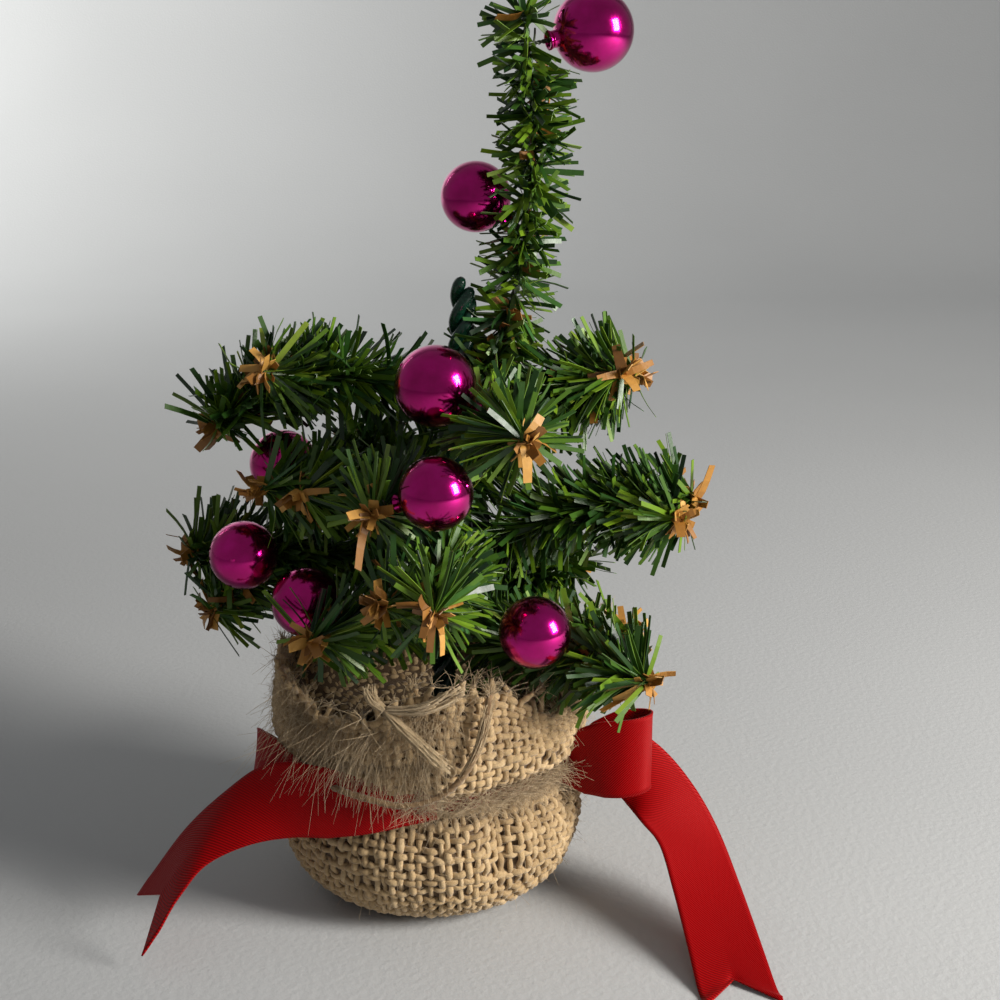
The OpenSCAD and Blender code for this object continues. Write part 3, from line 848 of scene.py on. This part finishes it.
def dress_branch(body, wire_node, needle_node, seed):
    line = LINES[body]
    rng = np.random.default_rng(seed)
    garland = body == "garland"
    tuft = Tuft(seed)
    if garland:
        tuft.along(line.path(), 6.5, 84, 24, 11 * MM, 3 * MM, tips=False)
        top = length_of(line.path())
        tuft.put(line.path(), top - rng.uniform(0, 2 * MM, 22), rng.uniform(80, 160, 22), 8 * MM)
        tuft.put(line.path(), rng.uniform(2 * MM, 16 * MM, 60), rng.uniform(50, 130, 60), 13 * MM)
        tuft.leaves(line.path(), rng.uniform(4 * MM, 24 * MM, 26))
        tuft.leaves(line.path(), rng.uniform(30 * MM, top, 22))
    else:
        tuft.along(line.path(), 8.5, 52, 22, 15.5 * MM, 4 * MM)
    wires = Bunch()
    twisted_pair(wires, line.path(), rng)
    if line.twig:
        twig = np.linspace(*line.twig, 40)
        tuft.along(twig, 7.0, 47, 17, 15 * MM, 4 * MM)
        twisted_pair(wires, twig, rng, 0.36 * MM)
    needles = tuft.build(tuft.green, body + "_needle_strips", NEEDLE)
    leaves = tuft.build(tuft.tan, body + "_tan_leaves", TAN)
    wire = wires.build(body + "_twisted_wire", BRANCH_WIRE)
    attach(needles, body, "needles", needle_node)
    attach(leaves, body, "needles")
    attach(wire, body, "branch_wire", wire_node)


for number, (name, body) in enumerate(sorted(BRANCHES.items())):
    dress_branch(body, "branch_wire_" + name, "needles_" + name, 200 + number)
dress_branch("garland", "garland_wire", "garland_needles", 300)


# ---------------------------------------------------------------- trunk

def make_trunk():
    """Three coated wires twisted together, and the wire wraps that hold the branches."""
    rng = np.random.default_rng(21)
    points = node_points("trunk")
    low_h, high_h = points[:, 2].min(), points[:, 2].max()
    foot = points[points[:, 2] < low_h + 3 * MM].mean(axis=0)
    head = points[points[:, 2] > high_h - 3 * MM].mean(axis=0)
    axis = unit(head - foot)
    line = foot + np.outer(np.linspace(0, (high_h - low_h) / axis[2] - 3 * MM, 260), axis)
    strand_r, offset = 1.6 * MM, 1.8 * MM
    bunch = Bunch()
    for k in range(3):
        strand = helix_about(line, offset, 21 * MM, k * 2 * np.pi / 3)
        stop = len(strand) - (0, 4, 8)[k]
        size = np.full(stop, strand_r)
        size[-3:] *= (0.96, 0.8, 0.45)
        bunch.add(*tube(strand[:stop], size, 14), rng.uniform(0.3, 0.7))
    trunk = bunch.build("trunk_strands", TRUNK_WIRE)
    attach(trunk, "base", "trunk_wire", "trunk")
    wraps = Bunch()
    for bend in LINES.values():
        middle = foot + axis * ((bend.root[2] - foot[2]) / axis[2])
        turn = np.linspace(0, 6 * np.pi, 90)
        across = unit(bend.out - axis * (bend.out @ axis))
        other = np.cross(axis, across)
        coil = (middle + 4.1 * MM * (np.outer(np.cos(turn), across) + np.outer(np.sin(turn), other))
                + np.outer((turn / (3 * np.pi) - 1) * 1.25 * MM, axis))
        wraps.add(*tube(coil, 0.62 * MM, 8), rng.uniform(0.2, 0.8))
    wrap = wraps.build("wrap_turns", BRANCH_WIRE)
    attach(wrap, "base", "trunk_wire", "branch_wraps")


make_trunk()


# ---------------------------------------------------------------- burlap bag

BAG_PROFILE = curve_through([
    [6, 0, 1.3], [14, 0, 1.2], [22, 0, 1.4], [30.5, 0, 3.6], [36.4, 0, 9.5], [38.8, 0, 17],
    [39, 0, 24], [37.2, 0, 30], [33.6, 0, 33.4], [30.2, 0, 35.2], [29.6, 0, 37], [31.6, 0, 38.8],
    [36.2, 0, 40.4], [39.6, 0, 43.5], [41, 0, 49],
], 10) * MM
SKIRT_FOOT = BAG_PROFILE[-1]
YARN_R = 0.86 * MM


def near(theta, bearing, width):
    """1 at one bearing of the cloth, falling to 0 on both sides of it; in degrees."""
    off = np.mod(theta - math.radians(bearing) + np.pi, 2 * np.pi) - np.pi
    return np.exp(-((off / math.radians(width)) ** 2))


def folds(theta):
    return (0.50 * np.sin(9 * theta + 0.6) + 0.32 * np.sin(14 * theta + 2.0)
            + 0.22 * np.sin(23 * theta + 4.1))


def bag_surface(theta, t):
    """A point of the gathered cloth: t runs 0 to 1 up to the neck's flare, then 1 to 2 up
    the standing skirt. theta is the bearing."""
    theta, t = np.broadcast_arrays(np.asarray(theta, float), np.asarray(t, float))
    low = np.clip(t, 0, 1) * (len(BAG_PROFILE) - 1)
    i = np.minimum(low.astype(int), len(BAG_PROFILE) - 2)
    f = low - i
    r = BAG_PROFILE[i, 0] * (1 - f) + BAG_PROFILE[i + 1, 0] * f
    z = BAG_PROFILE[i, 2] * (1 - f) + BAG_PROFILE[i + 1, 2] * f
    high = np.clip(t - 1, 0, 1)
    z = z + high * (rim_height(theta) - SKIRT_FOOT[2])
    # gathers: small at the belly, deep at the neck, opening out in the skirt
    neck = np.exp(-((z - 37 * MM) / (9 * MM)) ** 2)
    depth = (0.35 + 1.5 * neck + 1.6 * high) * MM
    r = r + depth * folds(theta) * np.clip(z / (12 * MM), 0, 1)
    belly = np.exp(-((z - 24 * MM) / (10 * MM)) ** 2)
    r = r - 2.8 * MM * near(theta, -60, 6) * belly
    r = r + high * (-1.2 + 1.2 * np.sin(3 * theta + 1.2)) * MM
    # one corner at the right leans far out
    r = r + 15 * MM * near(theta, 27, 17) * high**1.5
    return np.stack([r * np.cos(theta), r * np.sin(theta), z], axis=-1)


def bag_normal(theta, t):
    d = 1e-3
    a = bag_surface(np.asarray(theta) + d, t) - bag_surface(np.asarray(theta) - d, t)
    b = bag_surface(theta, np.asarray(t) + d) - bag_surface(theta, np.asarray(t) - d)
    return unit(np.cross(a, b))


UPRIGHTS = 102
ROUNDS = 34
SKIRT_ROUNDS = 8
YARN_SIDES = 7
WEAVE = 0.62 * MM
TURN = 6.28


def yarn_levels():
    """t of each round yarn: evenly spaced up the cloth."""
    along = distances(BAG_PROFILE)
    even = np.linspace(0.02, 1, ROUNDS) * along[-1]
    low = np.interp(even, along, np.linspace(0, 1, len(along)))
    return np.concatenate([low, 1 + (np.arange(SKIRT_ROUNDS) + 1) / (SKIRT_ROUNDS + 0.4)])


def slubs(rng, at, swell=0.24):
    """Thick and thin places along a hand-spun yarn."""
    total = np.ones_like(at)
    for pitch in (3, 7.3, 17):
        total = total + swell / 2 * np.sin(pitch * at + rng.uniform(0, 2 * np.pi))
    return total


def hank(bunch, rng, path, count, spread, size=0.09 * MM, tone=(0.3, 1.0)):
    """A bundle of loose fibres that follow one path; spread is its radius at start and end."""
    _, normal, other = travel_frames(path)
    t = np.linspace(0, 1, len(path))
    for _ in range(count):
        turn = rng.uniform(0, 2 * np.pi) + rng.normal(0, 1.5) * t
        off = (spread[0] + (spread[1] - spread[0]) * t) * math.sqrt(rng.uniform(0, 1))
        line = path + normal * (off * np.cos(turn))[:, None] + other * (off * np.sin(turn))[:, None]
        stop = rng.integers(int(len(path) * 0.6), len(path) + 1)
        points, faces = tube(line[:stop], size * rng.uniform(0.6, 1.3), 4)
        bunch.add(points, faces, rng.uniform(*tone))


def add_yarn(yarns, rng, path, size, at, palest, closed=False):
    """One raised yarn, its tone wandering along it."""
    points, faces = tube(path, size, YARN_SIDES, closed=closed, flat=0.85)
    tone = rng.uniform(0.15, palest) + 0.15 * np.sin(at + rng.uniform(0, TURN))
    yarns.add(points, faces, np.repeat(np.clip(tone, 0, 1), YARN_SIDES))


def round_yarns(yarns, rng, levels):
    theta = np.linspace(0, 2 * np.pi, UPRIGHTS * 4, endpoint=False)
    for j, level in enumerate(levels):
        t = level + 0.009 * (np.sin(3 * theta + rng.uniform(0, TURN))
                             + 0.6 * np.sin(8 * theta + rng.uniform(0, TURN)))
        under = -WEAVE * np.cos(theta * UPRIGHTS / 2) * (-1) ** j
        path = bag_surface(theta, t) + bag_normal(theta, t) * under[:, None]
        size = YARN_R * rng.uniform(0.85, 1.15) * slubs(rng, theta * 6)
        add_yarn(yarns, rng, path, size, theta * 9, 0.8, closed=True)


def upright_yarns(yarns, ends, rng, levels):
    """The yarns up the cloth; each runs a little past the last round yarn and frays out."""
    for k in range(UPRIGHTS):
        bearing = 2 * np.pi * k / UPRIGHTS
        stop = levels[-1] + rng.uniform(0.02, 0.25)
        t = np.concatenate([np.linspace(levels[0], 1, 116), np.linspace(1, stop, 40)[1:]])
        crossing = np.interp(t, levels, np.arange(len(levels)), right=len(levels) - 1)
        over = WEAVE * np.cos(np.pi * crossing) * (-1) ** k
        lean = 0.024 * np.sin(t * 7 + rng.uniform(0, TURN)) * rng.uniform(0.2, 1)
        path = bag_surface(bearing + lean, np.minimum(t, 2))
        path = path + bag_normal(bearing + lean, np.minimum(t, 1.98)) * over[:, None]
        past = np.clip(t - 2, 0, 1)[:, None]
        path = path + past * 16 * MM * (UP + rng.normal(0, 0.6, 3))
        squeeze = np.clip(np.hypot(path[:, 0], path[:, 1]) / (36 * MM), 0.5, 1)
        size = YARN_R * 0.95 * rng.uniform(0.85, 1.15) * squeeze * slubs(rng, t * 9)
        add_yarn(yarns, rng, path, size, t * 11, 0.85)
        spray = unit(path[-1] - path[-4]) + rng.normal(0, 0.6, (12, 3))
        fibres(ends, rng, np.repeat(path[-1:], 12, 0), spray, 5 * MM, 0.3, 0.08 * MM)


def make_burlap():
    rng = np.random.default_rng(31)
    yarns, ends = Bunch(), Bunch()
    round_yarns(yarns, rng, yarn_levels())
    upright_yarns(yarns, ends, rng, yarn_levels())
    yarn = yarns.build("burlap_weave", BURLAP)
    fray(ends, rng)
    fluff = ends.build("burlap_fluff", FIBRE)
    cloth = make_burlap_cloth()
    attach(yarn, "base", "burlap")
    attach(fluff, "base", "burlap")
    attach(cloth, "base", "burlap", "burlap_pouch", "burlap_skirt")


def patch(rng, count, bearings, levels):
    """Random places on the cloth, and the way out from it at each."""
    theta, t = np.radians(rng.uniform(*bearings, count)), rng.uniform(*levels, count)
    return bag_surface(theta, t), bag_normal(theta, t)


def fray(ends, rng):
    """Stray fibres all over, a fringe over the ribbon, matted fluff in the crease, and two
    thick frayed strands in front."""
    count = 2300
    spots, out = patch(rng, count, (0, 360), (0.25, 1.95))
    fibres(ends, rng, spots + out * 0.8 * MM, out + rng.normal(0, 1.1, (count, 3)), 2.8 * MM,
           0.25, 0.045 * MM)
    count = 420
    spots, out = patch(rng, count, (-132, -82), (0.9, 1.2))
    heading = out * 0.7 - UP + rng.normal(0, 0.35, (count, 3))
    fibres(ends, rng, spots + out * 0.9 * MM, heading, 7 * MM, 0.3, 0.07 * MM)
    count = 1900
    theta = np.radians(rng.uniform(-96, -8, count))
    outwards = np.stack([np.cos(theta), np.sin(theta), 0 * theta], axis=1)
    round_bag = np.cross(UP, outwards)
    spots = (outwards * rng.uniform(35, 40, count)[:, None] * MM
             + np.outer(rng.normal(38.4, 1.5, count) * MM, UP))
    heading = (round_bag * rng.choice([-1, 1], count)[:, None] + outwards * 0.5
               + rng.normal(0, 0.4, (count, 3)))
    fibres(ends, rng, spots, heading, 6.5 * MM, 0.15, 0.06 * MM)
    count = 900
    spots, out = patch(rng, count, (0, 360), (0.3, 1.9))
    along = np.cross(out, rng.normal(0, 1, (count, 3)))
    fibres(ends, rng, spots + out * 1.1 * MM, along + out * 0.1, 7 * MM, 0.05, 0.05 * MM)
    count = 520
    theta = np.radians(rng.uniform(-150, -78, count))
    spots, out = bag_surface(theta, rng.uniform(1.55, 1.98, count)), bag_normal(theta, 1.8)
    heading = out * 0.8 - UP * 0.8 + rng.normal(0, 0.5, (count, 3))
    fibres(ends, rng, spots + out * 0.9 * MM, heading, 10 * MM, 0.5, 0.06 * MM)
    knot = [-9, -42.5, 65.5]
    first = curve_through(np.array([knot, [-4, -44, 66], [0.5, -45, 67], [5, -44.6, 69],
                                    [9.5, -43.5, 71.5]]) * MM, 5)
    second = curve_through(np.array([knot, [-5.5, -44.6, 62.5], [-1, -45.8, 58.5],
                                     [3, -46, 54.5], [6.5, -45.6, 51]]) * MM, 5)
    third = curve_through(np.array([knot, [-12, -41.5, 68], [-13, -40, 71]]) * MM, 6)
    for path, many in ((first, 120), (second, 130), (third, 70)):
        hank(ends, rng, path, many, (1.0 * MM, 2.0 * MM))
    end = curve_through(TWINE_ROUTE[-4:], 6)
    hank(ends, rng, end, 70, (0.7 * MM, 1.7 * MM))


def make_burlap_cloth():
    """The cloth under the raised yarns, closed and 0.6 mm thick, so that no gap shows through. Its
    dark colour is painted shade: the shadow between and behind the yarns.
    """
    around, levels = 168, np.concatenate([np.linspace(0, 1, 60), np.linspace(1, 1.97, 18)[1:]])
    theta = np.linspace(0, 2 * np.pi, around, endpoint=False)
    grid_theta, grid_t = np.meshgrid(theta, levels)
    surface = bag_surface(grid_theta, grid_t)
    normal = bag_normal(grid_theta, grid_t)
    outer, inner = surface - normal * 0.25 * MM, surface - normal * 0.85 * MM
    rows = len(levels)
    points = np.concatenate([outer.reshape(-1, 3), inner.reshape(-1, 3),
                             [[0, 0, outer[0, 0, 2]], [0, 0, inner[0, 0, 2] + 0.1 * MM]]])
    shift, last = rows * around, (rows - 1) * around
    faces = two_sided(quads(rows, around), shift)
    for k in range(around):
        m = (k + 1) % around
        faces.append([last + k, last + m, last + m + shift, last + k + shift])
        faces += [[m, k, 2 * shift], [shift + k, shift + m, 2 * shift + 1]]
    # painted shade: the under-cloth is coloured dark so that the gaps between the yarns read as
    # shadow
    cloth = add_mesh("burlap_painted_shade_cloth", points, faces, PAINTED_SHADE_CLOTH, smooth=True)
    point_attribute(cloth, "tone", np.full(len(points), 0.4))
    return cloth


make_burlap()


# ---------------------------------------------------------------- weight

def make_weight():
    """The cast weight in the bag: its poured top shows, uneven and pitted."""
    low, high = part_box("base_weight")
    radius = (high[0] - low[0]) / 2 - 3.4 * MM
    rng = np.random.default_rng(41)
    profile = [(0, low[2] + 1 * MM), (radius * 0.5, low[2] + 1 * MM),
               (radius * 0.72, low[2] + 2.5 * MM), (radius * 0.9, low[2] + 7 * MM)]
    profile += [(radius, z * MM) for z in (14, 18, 22)]
    profile += [(radius * 0.93, 27 * MM), (radius * 0.88, high[2] - 0.8 * MM)]
    profile += [(radius * k, high[2]) for k in np.linspace(0.84, 0.08, 16)]
    profile.append((0, high[2]))
    points, faces = lathe(profile, 72)
    wobble = rng.normal(0, 0.16 * MM, len(points))
    x, y = points[:, 0], points[:, 1]
    points[:, 2] += np.where(points[:, 2] > 29 * MM, wobble + 0.5 * MM
                             * np.sin(x * 260) * np.cos(y * 310) - 0.5 * MM, 0)
    plug = add_mesh("cement_plug", points, faces, CEMENT, smooth=True)
    attach(plug, "base", "cement", "base_weight")


make_weight()


# ---------------------------------------------------------------- ribbon

RIBBON_W = 19 * MM
RIBBON_T = 0.32 * MM
STATION_STEPS = 8
SWALLOWTAIL = 8 * MM


def ribbon(name, node, middle, half, swallowtail=0.0):
    """A closed strip of ribbon: middle line, half-width vectors, selvedges a little thicker."""
    middle, half = np.asarray(middle), np.asarray(half)
    rows, across = len(middle), 17
    u = np.linspace(-1, 1, across)
    along = distances(middle)
    tangent = unit(np.gradient(middle, axis=0))
    cut = np.zeros((rows, across))
    if swallowtail:
        near_end = np.clip(1 - (along[-1] - along) / (2.2 * swallowtail), 0, 1)
        cut = near_end[:, None] * (np.abs(u)[None] - 0.42) * swallowtail * 1.15
    surface = middle[:, None] + half[:, None] * u[None, :, None] + tangent[:, None] * cut[..., None]
    du = np.gradient(surface, axis=1)
    dv = np.gradient(surface, axis=0)
    normal = unit(np.cross(du, dv))
    edge = 1 + 0.7 * (np.abs(u) > 0.96)
    lift = normal * (RIBBON_T / 2 * edge)[None, :, None]
    points = np.concatenate([(surface + lift).reshape(-1, 3), (surface - lift).reshape(-1, 3)])
    shift = rows * across
    faces = two_sided(quads(rows, across, wrap=False), shift)
    for i in range(rows - 1):
        a, b = i * across, (i + 1) * across - 1
        faces += [[a, a + across, a + across + shift, a + shift],
                  [b + shift, b + across + shift, b + across, b]]
    for k in range(across - 1):
        a, b = k, shift - across + k
        faces += [[a, a + shift, a + 1 + shift, a + 1], [b + 1, b + 1 + shift, b + shift, b]]
    obj = add_mesh(name, points, faces, SATIN, smooth=True)
    widths = np.linalg.norm(half, axis=1)
    cloth = np.stack([u[None] * widths[:, None], np.broadcast_to(along[:, None], (rows, across)),
                      np.zeros((rows, across))], axis=-1).reshape(-1, 3)
    vector_attribute(obj, "cloth", np.concatenate([cloth, cloth]))
    attach(obj, "base", "ribbon", node)
    return obj


def stations(rows):
    """Smooth middle line and half widths from (place, direction across, share of the width)."""
    middle = curve_through([r[0] for r in rows], STATION_STEPS) * MM
    across = unit(curve_through([unit(r[1]) for r in rows], STATION_STEPS))
    share = np.interp(np.linspace(0, len(rows) - 1, len(middle)), np.arange(len(rows)),
                      [r[2] if len(r) > 2 else 1 for r in rows])
    return middle, across * (RIBBON_W / 2 * share)[:, None]


LEFT_TAIL = [
    ([3, -37, 37.4], [0, 1, 3], 0.35), ([-5, -38.8, 38], [0, 1, 4], 0.5),
    ([-14, -39.8, 38.6], [0, 1, 5], 0.72), ([-24, -39, 39.2], [0, 1, 7], 0.95),
    ([-34, -37, 39], [0, 2, 8]), ([-43, -36, 36.5], [1, 4, 8]), ([-52, -36.5, 31], [2, 5, 7]),
    ([-60, -38.5, 23], [0, 7, 5]), ([-65.5, -41, 15.5], [-2, 8, 3]), ([-68, -42, 12], [-2, 8, 3]),
]
RIGHT_TAIL = [
    ([36, -12, 37], [0, 0, 1], 0.35), ([41, -11, 38], [0, 0, 1], 0.5),
    ([47, -10, 37.5], [1, 2, 8], 0.8), ([54, -11, 34.5], [2, 4, 7]), ([61, -15, 28.5], [5, 5, 3]),
    ([67.5, -21, 20], [8, 4, -1]), ([71, -32, 12], [8, 3, -1]), ([73.5, -46, 5.5], [9, 3, 0]),
    ([75, -57, 1.6], [9, 1, 0]), ([75.6, -61, 1.0], [9, 1, 0]),
]
RIGHT_LOOP = [
    ([31, -14, 37.2], [0, 0, 1], 0.3), ([35.5, -16.5, 38], [0, 0, 1], 0.5),
    ([39.5, -19, 40.6], [-0.1, 0.1, 1], 0.92), ([44.5, -21.5, 42.2], [-0.1, 0.15, 1], 1.05),
    ([50, -22.6, 43], [0, 0.12, 1], 1.08), ([54.6, -21.4, 43.4], [0, 0.1, 1], 1.08),
    ([57.2, -18.4, 43.4], [0, 0.05, 1], 1.08), ([56.8, -15.2, 43.2], [0, 0, 1], 1.08),
    ([53.5, -13.2, 42.8], [0, 0, 1], 1.05), ([48, -12.6, 42], [0, 0, 1], 1),
    ([42.5, -12.2, 40.4], [0, 0, 1], 0.85), ([38, -11, 38.4], [0, 0, 1], 0.5),
    ([34, -9.5, 37.4], [0, 0, 1], 0.3),
]
LEFT_LOOP = [
    ([-20, -26, 37], [0, 0, 1], 0.3), ([-27, -27, 37.4], [0, 0, 1], 0.42),
    ([-33.5, -26.5, 39], [0, 0.3, 1], 0.66), ([-40, -22, 40.4], [0.2, 0.3, 1], 0.78),
    ([-44.2, -15.5, 40.8], [0.2, 0.1, 1], 0.74), ([-44.4, -10.5, 40.2], [0, 0, 1], 0.62),
    ([-40.5, -9.5, 38.8], [0, 0, 1], 0.45), ([-35.5, -13, 37.8], [0, 0, 1], 0.34),
    ([-31, -15.5, 37.2], [0, 0, 1], 0.28),
]


def make_ribbon():
    right = ribbon("satin_tail_right", "ribbon_tail_right", *stations(RIGHT_TAIL), SWALLOWTAIL)
    left = ribbon("satin_tail_left", "ribbon_tail_left", *stations(LEFT_TAIL), SWALLOWTAIL)
    ribbon("satin_loop_right", "ribbon_loop_right", *stations(RIGHT_LOOP))
    ribbon("satin_loop_left", "ribbon_loop_left", *stations(LEFT_LOOP))
    low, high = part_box("ribbon_band")
    radius = (high[0] - low[0]) / 2 - 0.3 * MM
    angle = np.linspace(0, 2 * np.pi, 160)
    pleat = 0.35 * MM * np.sin(7 * angle)
    middle = np.stack([(radius + pleat) * np.cos(angle), (radius + pleat) * np.sin(angle),
                       np.full(160, (low[2] + high[2]) / 2)], axis=1)
    half = np.broadcast_to(UP * (high[2] - low[2]) / 2 * 1.05, (160, 3)).copy()
    ribbon("satin_band", "ribbon_band", middle, half)
    knot_low, knot_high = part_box("ribbon_knot")
    centre = (np.array(knot_low) + np.array(knot_high)) / 2 * np.array([0.95, 0.95, 1])
    bearing = math.atan2(centre[1], centre[0])
    out = np.array([math.cos(bearing), math.sin(bearing), 0])
    side = np.array([-out[1], out[0], 0])
    turn = np.linspace(0, 2 * np.pi, 48)
    swell = 2.3 * MM
    middle = centre + np.outer(np.cos(turn) * swell, out) + np.outer(np.sin(turn) * swell, UP)
    half = np.outer(4.0 * MM * (1 + 0.12 * np.cos(3 * turn)), side)
    ribbon("satin_knot", "ribbon_knot", middle, half)


make_ribbon()
